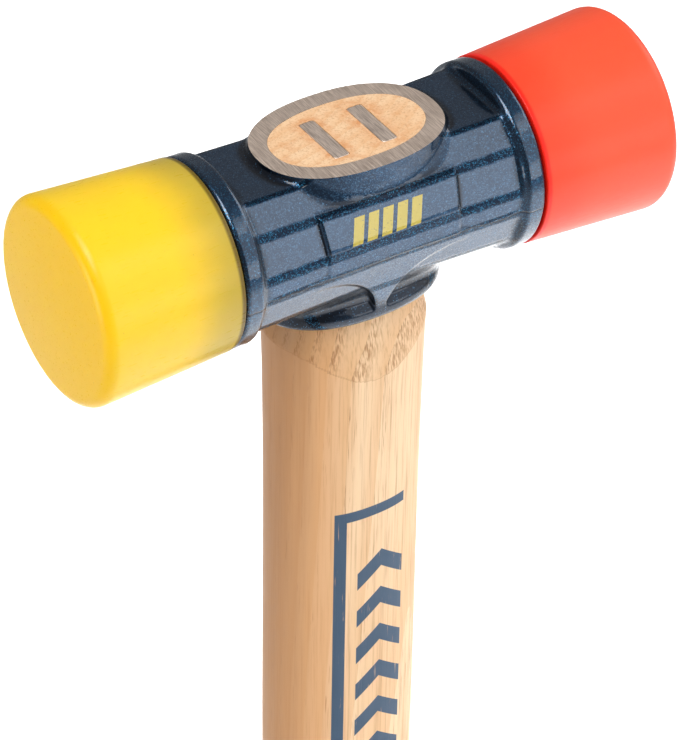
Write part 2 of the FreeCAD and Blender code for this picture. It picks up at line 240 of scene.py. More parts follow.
def seam_height(x):
    """Height of the casting's parting line, which wanders a little along the head."""
    height = SEAM_Z
    for swing, rate, start in SEAM_WAVES:
        height = height + swing * np.sin(x * rate + start)
    return height


def flange_field(x, y, z):
    """Round flange at each end of the body."""
    along = np.abs(np.abs(x) - (FLANGE_FACE - FLANGE_WIDTH / 2)) - FLANGE_WIDTH / 2
    around = np.sqrt(y * y + z * z) - FLANGE_RADIUS
    return rounded_box(along, around, FLANGE_EDGE)


def collar_field(x, y, z):
    """Neck below the body, with the collar's rounded rim at its foot."""
    ends = np.maximum(z - NECK_TOP, -COLLAR_DEPTH + NECK_INSET - z)
    neck = np.maximum(oval_field(x, y, *NECK_HALF), ends)
    height = np.abs(z + COLLAR_DEPTH - COLLAR_HEIGHT / 2) - COLLAR_HEIGHT / 2
    rim = rounded_box(oval_field(x, y, *COLLAR_HALF), height, COLLAR_EDGE)
    return blend_min(neck, rim, COLLAR_FILLET)


def boss_field(x, y, z):
    """Oval boss round the eye, wider towards its foot."""
    spread = (BOSS_TOP - z) * math.tan(math.radians(BOSS_DRAFT))
    return np.maximum(oval_field(x, y, BOSS_HALF[0] + spread, BOSS_HALF[1] + spread), -z)


def eye_half(share):
    """Half length and half width of the eye, from its foot at 0 to the boss's top at 1."""
    return [foot + (top - foot) * share for foot, top in zip(EYE_BOTTOM_HALF, EYE_TOP_HALF)]


def hole_field(x, y, z):
    """Eye for the handle, and a shot chamber in each end."""
    share = np.clip((z + COLLAR_DEPTH) / (BOSS_TOP + COLLAR_DEPTH), 0, 1)
    eye = oval_field(x, y, *eye_half(share))
    chamber = np.maximum(np.sqrt(y * y + z * z) - CHAMBER_RADIUS, CHAMBER_START - np.abs(x))
    return np.minimum(eye, chamber)


def head_field(x, y, z):
    """The casting without its spigots, before its boss is ground, and the arris mask."""
    solid, arris = barrel_field(x, y, z)
    solid = np.maximum(solid, np.abs(x) - (FLANGE_FACE - BODY_INSET))
    solid = solid - SEAM_RISE * np.exp(-((z - seam_height(x)) / SEAM_WIDTH) ** 2)
    for part, fillet in ((flange_field, FLANGE_FILLET), (collar_field, NECK_FILLET),
                         (boss_field, BOSS_FILLET), (gusset_field, GUSSET_FILLET),
                         (plaque_field, PLAQUE_FILLET)):
        solid = blend_min(solid, part(x, y, z), fillet)
    return np.maximum(solid, -hole_field(x, y, z)), arris


def sampled(values, low, points):
    """Trilinear samples of a voxel array at points."""
    places = (points - low) / VOXEL
    base = np.clip(np.floor(places).astype(int), 0, np.array(values.shape) - 2)
    part = places - base
    total = np.zeros(len(points))
    for corner in range(8):
        step = np.array([corner & 1, corner >> 1 & 1, corner >> 2 & 1])
        weight = np.prod(np.where(step, part, 1 - part), axis=1)
        total += weight * values[tuple((base + step).T)]
    return total


def softened(values, reach):
    """Box average of a voxel array over a few voxels each way."""
    for axis in range(3):
        total = values.copy()
        for step in range(1, reach + 1):
            total += np.roll(values, step, axis) + np.roll(values, -step, axis)
        values = total / (2 * reach + 1)
    return values


def head_mesh():
    """Casting surface from one quarter of its field, mirrored, with its masks at each point."""
    size_x, size_y = int(FLANGE_FACE / VOXEL) + MARGIN, int(FLANGE_RADIUS / VOXEL) + MARGIN
    bottom, top = -COLLAR_DEPTH - MARGIN * VOXEL, FLANGE_RADIUS + MARGIN * VOXEL
    x, y, z = np.meshgrid(np.arange(size_x) * VOXEL, np.arange(size_y) * VOXEL,
                          np.arange(bottom, top, VOXEL), indexing="ij")
    full = [np.concatenate([part[:0:-1], part]) for part in head_field(x, y, z)]
    full = [np.concatenate([part[:, :0:-1], part], axis=1) for part in full]
    field = full[0].astype(np.float32)
    masks = {"arris": full[1], "edge": softened(field, EDGE_REACH) - field,
             "hollow": field - softened(field, HOLLOW_REACH)}
    low = np.array([-(size_x - 1) * VOXEL, -(size_y - 1) * VOXEL, bottom])
    grid = openvdb.FloatGrid()
    grid.copyFromArray(field)
    points, quads = grid.convertToQuads(0.0)
    points = points.astype(float) * VOXEL + low
    return points, quads, {name: sampled(mask, low, points) for name, mask in masks.items()}


def cut_boss(shape):
    """Grinds the boss flat and fills the ring with faces of the second material."""
    reach_x, reach_y = [(half + GRIND_REACH) * MM for half in BOSS_HALF]
    faces = []
    for face in shape.faces:
        middle = face.calc_center_median()
        if (middle.z > (TOP_Z - GRIND_DEPTH) * MM and abs(middle.x) < reach_x
                and abs(middle.y) < reach_y):
            faces.append(face)
    edges = dict.fromkeys(edge for face in faces for edge in face.edges)
    verts = dict.fromkeys(vert for face in faces for vert in face.verts)
    cut = bmesh.ops.bisect_plane(shape, geom=[*verts, *edges, *faces],
                                 plane_co=(0, 0, TOP_Z * MM), plane_no=(0, 0, 1),
                                 clear_outer=True, dist=1e-7)
    rim = [item for item in cut["geom_cut"] if isinstance(item, bmesh.types.BMEdge)]
    filled = bmesh.ops.triangle_fill(shape, use_beauty=True, edges=rim)
    for item in filled["geom"]:
        if isinstance(item, bmesh.types.BMFace):
            item.material_index = 1
            item.smooth = False
            if item.normal.z < 0:
                item.normal_flip()


def make_head():
    """Casting with its masks stored on the mesh, for its paint."""
    points, quads, masks = head_mesh()
    piece = mesh_from("head_shell", points + [0, 0, AXIS_Z], quads.tolist())
    for name, values in masks.items():
        layer = piece.data.attributes.new(name, "FLOAT", "POINT")
        layer.data.foreach_set("value", values.astype(np.float32))
    rework(piece, cut_boss)
    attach(piece, HEAD_BODY)
    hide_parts("head_casting")
    return piece


# ---- turned and threaded pieces
SEGMENTS = 192
THREAD_PITCH = 1.5
THREAD_DEPTH = 0.9
THREAD_STEPS = 10
SPIGOT_RADIUS = 11.0
THREAD_RELIEF = 1.5
THREAD_CLEARANCE = 0.07
THREAD_FADE = 0.7  # length over which the spigot's thread rises and ends
RIDGE_SLOPE = 2.3
RIDGE_FLOOR = 0.15
SPIGOT_ROOT = 0.4  # the spigot starts this far inside the flange's face
SPIGOT_CHAMFER = 0.4
INSERT_RADIUS = 13.2
INSERT_CHAMFER = 0.3
INSERT_GROOVES = ((2.0, 3.5), (5.5, 7.0))  # starts and ends, from the flange's face
GROOVE_SLOPE = 0.1
GROOVE_DEPTH = 0.8
INSERT_LEAD = 0.6  # plain length before the inside thread
INSERT_TAIL = 0.2
TIP_BASE_RADIUS = 16.15
TIP_TRIM = 0.01  # the strike face's rim lies this far inside the CAD piece
TIP_EDGE = 2.2
TIP_DOME = 0.6
TIP_BASE_EDGE = 0.25
FACE_STEPS = 12
WALL_STEPS = 25
BOND_GAP = 0.05
SOCKET_FLOOR = SPIGOT_END + 0.6


def ridge_height(x, turn):
    """Right-handed thread ridge at a place along and round the head's axis."""
    part = (x / THREAD_PITCH - turn / (2 * math.pi)) % 1
    flank = (0.5 - np.abs(part - 0.5)) * RIDGE_SLOPE - RIDGE_FLOOR
    return THREAD_DEPTH * np.clip(flank, 0, 1)


def turned(name, outline, side, closed=False):
    """Turned piece from (x, radius, thread share) places; an axis end is a single point."""
    points, starts = [], []
    turns = np.arange(SEGMENTS) * 2 * math.pi / SEGMENTS
    for x, radius, share in outline:
        starts.append(len(points))
        if radius == 0:
            points.append((side * x, 0, AXIS_Z))
            continue
        reach = radius + share * ridge_height(side * x, turns)
        for turn, distance in zip(turns, reach):
            points.append((side * x, distance * math.cos(turn),
                           AXIS_Z + distance * math.sin(turn)))
    faces = []
    pairs = list(zip(range(len(outline)), range(1, len(outline))))
    if closed:
        pairs.append((len(outline) - 1, 0))
    for first, second in pairs:
        for step in range(SEGMENTS):
            after = (step + 1) % SEGMENTS
            if outline[first][1] == 0:
                faces.append((starts[first], starts[second] + step, starts[second] + after))
            elif outline[second][1] == 0:
                faces.append((starts[first] + step, starts[second], starts[first] + after))
            else:
                faces.append((starts[first] + step, starts[second] + step,
                              starts[second] + after, starts[first] + after))
    piece = mesh_from(name, points, faces)
    rework(piece)
    return piece


def quarter(centre_x, centre_r, radius, start, end, steps):
    """Rounded edge of an outline, between two turns in degrees from the head's axis."""
    places = []
    for step in range(steps + 1):
        angle = math.radians(start + (end - start) * step / steps)
        places.append((centre_x + radius * math.cos(angle),
                       centre_r + radius * math.sin(angle), 0))
    return places


def thread_places(start, end):
    """Places along the axis where the outline of a thread is sampled."""
    count = int((end - start) / THREAD_PITCH * THREAD_STEPS)
    return [start + (end - start) * row / count for row in range(count + 1)]


def make_spigot(side, name):
    """Threaded end of the casting, with its shot chamber open for the plug."""
    root = SPIGOT_RADIUS - THREAD_DEPTH
    start = FLANGE_FACE - SPIGOT_ROOT
    first, last = FLANGE_FACE + THREAD_RELIEF, SPIGOT_END - SPIGOT_CHAMFER
    outline = [(start, CHAMBER_RADIUS, 0), (start, root, 0)]
    for x in thread_places(first, last):
        outline.append((x, root, min(1, (x - first) / THREAD_FADE, (last - x) / THREAD_FADE)))
    outline += [(SPIGOT_END, root - SPIGOT_CHAMFER, 0), (SPIGOT_END, CHAMBER_RADIUS, 0)]
    piece = turned(name, outline, side, closed=True)
    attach(piece, HEAD_BODY)
    return piece


def make_insert(side, name, body, node):
    """Steel ring with an inside thread that matches the spigot's and two grooves outside."""
    root = SPIGOT_RADIUS - THREAD_DEPTH + THREAD_CLEARANCE
    low, high = FLANGE_FACE, SPIGOT_END
    bore = SPIGOT_RADIUS + THREAD_CLEARANCE
    floor = INSERT_RADIUS - GROOVE_DEPTH
    outline = [(low, bore, 0), (low, INSERT_RADIUS - INSERT_CHAMFER, 0),
               (low + INSERT_CHAMFER, INSERT_RADIUS, 0)]
    for start, end in INSERT_GROOVES:
        outline += [(low + start, INSERT_RADIUS, 0), (low + start + GROOVE_SLOPE, floor, 0),
                    (low + end - GROOVE_SLOPE, floor, 0), (low + end, INSERT_RADIUS, 0)]
    outline += [(high, INSERT_RADIUS, 0), (high, bore, 0)]
    for x in reversed(thread_places(low + INSERT_LEAD, high - INSERT_TAIL)):
        outline.append((x, root, 1))
    piece = turned(name, outline, side, closed=True)
    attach(piece, body)
    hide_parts(node)
    return piece


def make_tip(side, name, body, node):
    """Plastic tip with a rounded strike face and a socket round its insert."""
    face = TIP_RADIUS - TIP_TRIM
    inner = face - TIP_EDGE
    edge_start = TIP_END - TIP_DOME - TIP_EDGE
    base_start = TIP_START + TIP_BASE_EDGE
    outline = [(TIP_END, 0, 0)]
    for step in range(1, FACE_STEPS):
        share = step / FACE_STEPS
        outline.append((TIP_END - TIP_DOME * share * share, inner * share, 0))
    outline += quarter(edge_start, inner, TIP_EDGE, 0, 90, 14)
    for step in range(1, WALL_STEPS):
        share = step / WALL_STEPS
        outline.append((edge_start + (base_start - edge_start) * share,
                        face + (TIP_BASE_RADIUS - face) * share, 0))
    outline += quarter(base_start, TIP_BASE_RADIUS - TIP_BASE_EDGE, TIP_BASE_EDGE, 90, 180, 4)
    bore = INSERT_RADIUS + BOND_GAP
    outline += [(TIP_START, bore, 0), (SPIGOT_END + BOND_GAP, bore, 0),
                (SPIGOT_END + BOND_GAP, SPIGOT_RADIUS, 0), (SOCKET_FLOOR, SPIGOT_RADIUS, 0),
                (SOCKET_FLOOR, 0, 0)]
    piece = turned(name, outline, side)
    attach(piece, body)
    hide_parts(node)
    return piece


# ---- handle and wedges
HANDLE_SEGMENTS = 176
BUTT_STEPS = 8
TENON_STEPS = 40
SHAFT_STEP = 2.5  # between rings along the shaft
SHOULDER_STEP = 0.25  # and along the shoulder
SHOULDER_REACH = 20.0
TENON_GAP = 0.03
SEAT_HALF = (12.6, 8.9)
SHOULDER_SLOPE = (0.24, 0.13)
SHOULDER_POWER = 2.5
SHOULDER_EDGE = 0.06
SHOULDER_LIMIT = 0.01  # the cut starts this far inside the shaft's own surface
SHAFT_POWER = 2.3
# height above the butt, half length and half width
SHAFT_KEYS = ((0, 14.8, 10.8), (26, 15.25, 11.2), (58, 15.5, 11.4), (122, 13.3, 10.1),
              (200, 13.45, 10.2), (261, 13.6, 10.32), (277, 13.85, 10.55), (290, 14.3, 10.85))
BUTT_EDGE = 2.5
WEDGE_MIDDLE = 4.45
WEDGE_HALF = 1.375
WEDGE_TIP_HALF = 0.45
WEDGE_LENGTH = 11.0
WEDGE_DEPTH = 16.0
WEDGE_SHIFT = -0.35
WEDGE_CORNER = 0.5
WEDGE_CORNER_STEPS = 5
WEDGE_BEVEL = 0.05
WEDGE_BARBS = 4
BARB_DEPTH = 0.16
BARB_LENGTH = 0.3
KERF_GAP = 0.1
KERF_END_GAP = 0.3
FLAT_LIMIT = 0.9  # upright part of a flat face's normal
WEDGE_FLAT_LIMIT = 0.5


def smooth_through(keys, place):
    """Values at a place on a smooth curve through (place, value, value...) keys."""
    keys = np.asarray(keys, float)
    at = keys[:, 0]
    slopes = np.gradient(keys[:, 1:], at, axis=0)
    i = int(np.clip(np.searchsorted(at, place) - 1, 0, len(at) - 2))
    width = at[i + 1] - at[i]
    t = (place - at[i]) / width
    return (keys[i, 1:] * (1 + 2 * t) * (1 - t) ** 2 + slopes[i] * width * t * (1 - t) ** 2
            + keys[i + 1, 1:] * t * t * (3 - 2 * t) + slopes[i + 1] * width * t * t * (t - 1))


def oval_radius(turns, half_length, half_width, power):
    """Reach of a superellipse at each turn."""
    across = np.abs(np.cos(turns) / half_length) ** power
    along = np.abs(np.sin(turns) / half_width) ** power
    return (across + along) ** (-1 / power)


def oval_ring(radius, turns, z):
    return np.stack([radius * np.cos(turns), radius * np.sin(turns), np.full(len(turns), z)], 1)


def lofted(name, rings):
    """Closed skin through rings of points, with a flat face at each end."""
    count = len(rings[0])
    faces = grid_faces(len(rings), count)
    faces.append(tuple(reversed(range(count))))
    faces.append(tuple(range((len(rings) - 1) * count, len(rings) * count)))
    return mesh_from(name, np.concatenate(rings), faces)


def butt_rings(turns):
    """Rounded edge of the butt."""
    rings = []
    for step in range(BUTT_STEPS + 1):
        angle = math.radians(90 * step / BUTT_STEPS)
        inset, z = BUTT_EDGE * (1 - math.sin(angle)), BUTT_EDGE * (1 - math.cos(angle))
        length, width = smooth_through(SHAFT_KEYS, z)
        radius = oval_radius(turns, length - inset, width - inset, SHAFT_POWER)
        rings.append(oval_ring(radius, turns, z))
    return rings


def shaft_rings(turns, collar_z):
    """Swelling shaft up to the collar, cut down to the shoulder's taper at its top."""
    shoulder_z = collar_z - SHOULDER_REACH
    heights = list(np.arange(BUTT_EDGE + 2, shoulder_z, SHAFT_STEP))
    heights += list(np.arange(shoulder_z, collar_z - 0.3, SHOULDER_STEP)) + [collar_z]
    rings = []
    for z in heights:
        length, width = smooth_through(SHAFT_KEYS, z)
        shaft = oval_radius(turns, length, width, SHAFT_POWER)
        drop = collar_z - z
        shoulder = oval_radius(turns, SEAT_HALF[0] + SHOULDER_SLOPE[0] * drop,
                               SEAT_HALF[1] + SHOULDER_SLOPE[1] * drop, SHOULDER_POWER)
        rings.append(oval_ring(blend_min(shaft, shoulder, SHOULDER_EDGE), turns, z))
    return rings


def tenon_rings(turns, collar_z):
    """Tenon that fills the eye up to the ground top of the boss."""
    rings = []
    for step in range(TENON_STEPS + 1):
        share = step / TENON_STEPS
        length, width = eye_half(share)
        radius = oval_radius(turns, length - TENON_GAP, width - TENON_GAP, OVAL_POWER)
        rings.append(oval_ring(radius, turns, collar_z + (TOP_Z - collar_z) * share))
    return rings


def handle_rings():
    """Outline rings from the butt to the top of the tenon."""
    turns = np.arange(HANDLE_SEGMENTS) * 2 * math.pi / HANDLE_SEGMENTS
    collar_z = AXIS_Z - COLLAR_DEPTH
    return butt_rings(turns) + shaft_rings(turns, collar_z) + tenon_rings(turns, collar_z)


def wedge_outline(half, extra):
    """Rounded rectangle, seen from above."""
    reach_x, reach_y = half + extra, WEDGE_LENGTH / 2 + extra
    corner = min(WEDGE_CORNER, reach_x * 0.8)
    places = []
    for sign_x, sign_y, start in ((1, 1, 0), (-1, 1, 90), (-1, -1, 180), (1, -1, 270)):
        for step in range(WEDGE_CORNER_STEPS + 1):
            angle = math.radians(start + 90 * step / WEDGE_CORNER_STEPS)
            places.append((sign_x * (reach_x - corner) + corner * math.cos(angle),
                           sign_y * (reach_y - corner) + corner * math.sin(angle)))
    return np.array(places)


def wedge_rings(middle, extra, barb):
    """Rings of a tapered wedge from its tip to its top face; a kerf is its wedge plus a gap."""
    bevel = 0 if extra else WEDGE_BEVEL
    levels = [(0, WEDGE_HALF, extra - bevel), (WEDGE_BEVEL, WEDGE_HALF, extra)]
    for number in range(1, WEDGE_BARBS + 1):
        share = number / WEDGE_BARBS
        half = WEDGE_HALF + (WEDGE_TIP_HALF - WEDGE_HALF) * share
        levels.append((WEDGE_DEPTH * share - BARB_LENGTH, half - barb, extra))
        levels.append((WEDGE_DEPTH * share, half, extra))
    rings = []
    for depth, half, grow in reversed(levels[:-1]):
        outline = wedge_outline(half, grow)
        rings.append(np.column_stack([outline[:, 0] + middle, outline[:, 1] + WEDGE_SHIFT,
                                      np.full(len(outline), TOP_Z - depth)]))
    return rings


def cut_from(piece, cutters):
    """Cuts other meshes out of a piece and removes them."""
    for cutter in cutters:
        step = piece.modifiers.new("cut", "BOOLEAN")
        step.operation = "DIFFERENCE"
        step.solver = "EXACT"
        step.object = cutter
    view = bpy.context.evaluated_depsgraph_get()
    result = bpy.data.meshes.new_from_object(piece.evaluated_get(view))
    piece.modifiers.clear()
    piece.data = result
    for cutter in cutters:
        bpy.data.objects.remove(cutter)


def mark_shoulder(mesh):
    """Stores which points lie on the shoulder's cut, above the shaft's own surface."""
    places = np.array([point.co for point in mesh.vertices]) / MM
    turns = np.arctan2(places[:, 1], places[:, 0])
    halves = np.array([smooth_through(SHAFT_KEYS, z) for z in places[:, 2]])
    shaft = oval_radius(turns, halves[:, 0], halves[:, 1], SHAFT_POWER)
    inset = shaft - np.hypot(places[:, 0], places[:, 1])
    shoulder_z = AXIS_Z - COLLAR_DEPTH - SHOULDER_REACH
    on_cut = (places[:, 2] > shoulder_z) & (inset > SHOULDER_LIMIT)
    layer = mesh.attributes.new("shoulder", "FLOAT", "POINT")
    layer.data.foreach_set("value", on_cut.astype(np.float32))


def make_handle():
    """Handle with its kerfs; the ground end of the tenon has the second material."""
    piece = lofted("handle_wood", handle_rings())
    cutters = []
    for side in (-1, 1):
        rings = wedge_rings(side * WEDGE_MIDDLE, KERF_GAP, 0)
        rings[0][:, 2] -= KERF_END_GAP
        rings.append(rings[-1] + [0, 0, 1])
        cutters.append(lofted("kerf", rings))
    cut_from(piece, cutters)
    for face in piece.data.polygons:
        face.use_smooth = abs(face.normal.z) <= FLAT_LIMIT
        ground = face.normal.z > FLAT_LIMIT and face.center.z > (TOP_Z - 1) * MM
        face.material_index = int(ground)
    mark_shoulder(piece.data)
    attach(piece, HEAD_BODY)
    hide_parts("handle")
    return piece


def make_wedge(side, name):
    """Barbed steel wedge across the tenon."""
    piece = lofted(name + "_steel", wedge_rings(side * WEDGE_MIDDLE, 0, BARB_DEPTH))
    for face in piece.data.polygons:
        face.use_smooth = abs(face.normal.z) < WEDGE_FLAT_LIMIT
    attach(piece, HEAD_BODY)
    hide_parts(name)
    return piece


# ---- node materials
class Finish:
    """Node material put together step by step, from places in millimetres round the head."""

    def __init__(self, name):
        self.material = bpy.data.materials.new(name)
        self.material.use_nodes = True
        self.nodes = self.material.node_tree.nodes
        self.links = self.material.node_tree.links
        self.shader = self.nodes["Principled BSDF"]
        place = self.add("TexCoord").outputs["Object"]
        self.place = self.moved(place, (1 / MM,) * 3, (0, 0, -AXIS_Z))
        split = self.add("SeparateXYZ", Vector=self.place)
        self.x, self.y, self.z = split.outputs

    def put(self, socket, value):
        if isinstance(value, bpy.types.NodeSocket):
            self.links.new(value, socket)
        else:
            socket.default_value = value

    def add(self, kind, settings=None, **inputs):
        node = self.nodes.new("ShaderNode" + kind)
        for key, value in (settings or {}).items():
            setattr(node, key, value)
        for key, value in inputs.items():
            self.put(node.inputs[key.replace("_", " ")], value)
        return node

    def moved(self, place, scale, shift=(0, 0, 0)):
        node = self.add("Mapping", Vector=place, Scale=scale, Location=shift)
        return node.outputs[0]

    def calc(self, operation, *values, kind="Math", **inputs):
        node = self.add(kind, {"operation": operation}, **inputs)
        for socket, value in zip(node.inputs, values):
            self.put(socket, value)
        return node.outputs[0]

    def vector(self, operation, *values, **inputs):
        return self.calc(operation, *values, kind="VectorMath", **inputs)

    def folded(self, operation, first, *others):
        """One operation carried along a row of values."""
        for other in others:
            first = self.calc(operation, first, other)
        return first

    def times(self, *values):
        return self.folded("MULTIPLY", *values)

    def plus(self, *values):
        return self.folded("ADD", *values)

    def minus(self, *values):
        return self.folded("SUBTRACT", *values)

    def most(self, *values):
        return self.folded("MAXIMUM", *values)

    def absolute(self, value):
        return self.calc("ABSOLUTE", value)

    def between(self, value, low, high, first=0.0, last=1.0):
        """A value carried from one range to another, held at the ends."""
        node = self.add("MapRange", {"interpolation_type": "SMOOTHSTEP"}, Value=value,
                        From_Min=low, From_Max=high, To_Min=first, To_Max=last)
        return node.outputs[0]

    def band(self, value, low, high, soft):
        """1 where a value lies between two limits, with soft ends."""
        return self.times(self.between(value, low - soft, low + soft),
                          self.between(value, high - soft, high + soft, 1.0, 0.0))

    def noise(self, stretch, detail=3.0, rough=0.55, shift=(0, 0, 0)):
        """Noise whose stretch is grains per millimetre along each axis."""
        node = self.add("TexNoise", Vector=self.moved(self.place, stretch, shift),
                        Scale=1.0, Detail=detail, Roughness=rough)
        return node.outputs["Fac"]

    def cells(self, size):
        """A random colour for each cell of a size in millimetres."""
        node = self.add("TexVoronoi", Vector=self.place, Scale=1 / size)
        return node.outputs["Color"]

    def mixed(self, share, first, second):
        node = self.add("Mix", {"data_type": "RGBA"}, Factor=share, A=first, B=second)
        return node.outputs["Result"]

    def layered(self, base, *layers):
        """Colours laid over a base in turn, each with its own share."""
        for share, colour in layers:
            base = self.mixed(share, base, colour)
        return base

    def mask(self, name):
        return self.add("Attribute", {"attribute_name": name}).outputs["Fac"]

    def bump(self, height, depth, strength=1.0, normal=None):
        """Relief of a height from 0 to 1, its depth in millimetres."""
        node = self.add("Bump", Strength=strength, Distance=depth * MM, Height=height)
        if normal:
            self.put(node.inputs["Normal"], normal)
        return node.outputs[0]

    def finish(self, **inputs):
        for key, value in inputs.items():
            self.put(self.shader.inputs[key.replace("_", " ")], value)
        return self.material


def rgb(red, green, blue):
    """Shader colour from screen values out of 255; the curve starts as a straight line."""
    return (*[((value / 255 + 0.055) / 1.055) ** 2.4 if value > 10 else value / 3294
              for value in (red, green, blue)], 1.0)


# ---- lacquer of the head
FLAKE_SIZE = 0.15
FLAKE_TILT = 0.22
POCKET_FOOT = (10.5, -15.6)  # reach and height of the gusset's front plane at its foot
POCKET_SLOPE = 0.296
PAINT_SEAM = (-1.85, -1.5)  # heights of the parting line's band of painted shade
PAINT_SEAM_WAVE = (0.55, 0.22)  # radians per mm and swing
MARK_LEAN = -0.28
MARK_HALF_PITCH = 1.35
MARK_X = (-8.9, 4.3)
MARK_Z = (3.0, 7.2)


def head_paint():
    """Metal-flake lacquer, with a thinner clear coat and painted dark reflection on the arrises,
    painted shade in the hollows, on the collar, the flanges, faces turned down and the parting line,
    and a yellow mark on the plaque.
    """
    paint = Finish("head_paint_flake")
    flake = paint.cells(FLAKE_SIZE)
    spark = paint.add("SeparateColor", Color=flake).outputs
    cloud = paint.noise((0.12, 0.12, 0.12), 4)
    wander = paint.times(paint.minus(paint.noise((0.5, 0.5, 0.5)), 0.5), 0.3)
    edges = paint.plus(paint.mask("edge"), paint.times(wander, 0.1))
    along = paint.absolute(paint.x)
    ridge = paint.times(paint.between(paint.plus(paint.mask("arris"), wander), 0.08, 0.26),
                        paint.between(along, 24.2, 23.6))
    # dark: painted dark reflection on the arrises and convex edges
    dark = paint.most(paint.between(edges, 0.045, 0.085), ridge)
    # painted shade in the hollows, the scallops, on the collar and on faces turned down
    painted_shade = shaded_places(paint, edges)
    # rim: painted shade on the flanges at both ends
    rim = paint.times(paint.between(along, 21.8, 24.8), 0.7)
    # teal flecks only in the painted dark bands and on the flanges: painted glints
    teal = paint.times(paint.between(spark[1], 0.7, 0.95, 0.0, 0.75), paint.most(dark, rim))
    # seam: the parting line's band, painted dark as its shade and sunk in the relief
    seam = seam_line(paint)
    mark = plaque_mark(paint)
    base = paint.layered(
        paint.mixed(paint.between(cloud, 0.3, 0.7), rgb(18, 46, 72), rgb(28, 58, 86)),
        (paint.between(spark[0], 0.6, 1.0, 0.0, 0.3), rgb(84, 126, 160)),
        (paint.times(dark, 0.95), rgb(10, 25, 45)),
        (paint.times(painted_shade, 0.92), rgb(5, 11, 24)),
        (rim, rgb(24, 44, 66)),
        (teal, rgb(45, 110, 145)),
        (paint.between(spark[2], 0.955, 0.985, 0.0, 0.45), rgb(88, 140, 180)),
        (paint.times(seam, 0.85), rgb(6, 11, 22)),
        (mark, rgb(190, 168, 44)))
    relief = paint.minus(paint.noise((0.35, 0.35, 0.35), 3), paint.plus(seam, ridge))
    coat = paint.bump(relief, 0.10, 0.6)
    peel = paint.bump(paint.noise((2.2, 2.2, 2.2), 2), 0.012, 1.0, coat)
    # less clear coat on the arrises and, more weakly, in the painted-shade places, which darkens
    # them further
    worn = paint.most(ridge, paint.times(painted_shade, 0.3))
    return paint.finish(Base_Color=base, Metallic=paint.times(paint.minus(1.0, mark), 0.9),
                        Roughness=paint.between(cloud, 0.2, 0.8, 0.29, 0.36),
                        Normal=flake_normal(paint, flake), Coat_Normal=peel,
                        Coat_Weight=paint.minus(1.0, paint.times(worn, 0.8)),
                        Coat_Roughness=0.05, Coat_IOR=1.5)


def shaded_places(paint, edges):
    """Painted shade and dark reflection in the hollows, beside the gusset, on the collar and on
    faces turned down.
    """
    hollow = paint.most(paint.between(edges, -0.02, -0.07),
                        paint.between(paint.mask("hollow"), 0.05, 0.24))
    geometry = paint.add("NewGeometry")
    facing = paint.add("SeparateXYZ", Vector=geometry.outputs["True Normal"])
    below = paint.between(facing.outputs["Z"], -0.3, -0.7)
    collar = paint.times(paint.between(paint.z, -11.5, -13.2), 0.85)
    return paint.most(hollow, below, collar, pocket_depth(paint))


def flake_normal(paint, flake):
    """Surface normal tilted at random from one flake to the next."""
    tilt = paint.vector("SCALE", paint.vector("SUBTRACT", flake, (0.5, 0.5, 0.5)),
                        Scale=FLAKE_TILT)
    normal = paint.add("NewGeometry").outputs["Normal"]
    return paint.vector("NORMALIZE", paint.vector("ADD", tilt, normal))


def seam_line(paint):
    """Band of painted shade along the casting's wandering parting line, on the outermost flanks."""
    rate, swing = PAINT_SEAM_WAVE
    wave = paint.times(paint.calc("SINE", paint.times(paint.x, rate)), swing)
    ripple = paint.times(paint.noise((0.5, 0.5, 0.5), 1), 0.5)
    height = paint.minus(paint.plus(paint.z, ripple), wave)
    return paint.times(paint.band(height, *PAINT_SEAM, 0.1),
                       paint.between(paint.absolute(paint.y), 12, 13))


def pocket_depth(paint):
    """1 deep in the scallops beside the gusset, measured behind the gusset's front plane; it places
    painted shade there.
    """
    reach, height = POCKET_FOOT
    plane = paint.plus(paint.times(paint.plus(paint.z, -height), POCKET_SLOPE), reach)
    depth = paint.minus(plane, paint.absolute(paint.y))
    return paint.times(paint.between(depth, 0.4, 1.6), paint.between(paint.z, -3.0, -6.0),
                       paint.between(paint.absolute(paint.x), 17.0, 13.0))


def plaque_mark(paint):
    """Row of slanted bars on the plaque's upper face, a little worn."""
    lean = paint.plus(paint.x, paint.times(paint.z, MARK_LEAN))
    step = paint.calc("PINGPONG", paint.plus(lean, 20.0), MARK_HALF_PITCH)
    worn = paint.between(paint.noise((2.5, 2.5, 2.5), 4), 0.62, 0.7, 1.0, 0.35)
    return paint.times(paint.between(step, 0.36, 0.44), paint.band(lean, *MARK_X, 0.04),
                       paint.band(paint.z, *MARK_Z, 0.05),
                       paint.between(paint.y, -12.0, -12.1), worn)


# ---- steel
def steel(name, light, dark, scratches, rough):
    """Ground steel with fine parallel scratches; scratches are grains per millimetre."""
    metal = Finish(name)
    lines = metal.noise(scratches, 4, 0.7)
    blotch = metal.noise((0.35, 0.35, 0.35), 4)
    base = metal.mixed(metal.between(lines, 0.35, 0.65), dark, light)
    base = metal.mixed(metal.between(blotch, 0.5, 0.8, 0.0, 0.35), base, dark)
    return metal.finish(Base_Color=base, Metallic=1.0,
                        Roughness=metal.between(lines, 0.3, 0.7, rough - 0.06, rough + 0.12),
                        Normal=metal.bump(lines, 0.02, 0.7))


# ---- wood and plastic
SIDE_TONES = (rgb(244, 210, 168), rgb(225, 174, 120), rgb(166, 108, 58))
END_TONES = (rgb(244, 206, 164), rgb(232, 180, 130), rgb(180, 116, 70))
PITH = (-16.0, 46.0)  # the growth rings' centre at the head's height
RINGS_PER_MM = 0.42
RING_BEND = 9.0
PITH_LEAN = 0.035
MARK_SOFT = 0.04
BAR = ((-7.0, -4.9), (-113.0, -55.5))  # across the handle, and heights
CAP = ((-7.0, 6.5), (-57.6, -55.5))
CHEVRON_ACROSS = (-2.8, 6.5)
CHEVRON_MIDDLE = 1.85
CHEVRON_SLOPE = 0.8
CHEVRON_PITCH = 8.2
CHEVRON_TOP = -64.0
PRINT_HEIGHTS = (-170.0, -40.0)


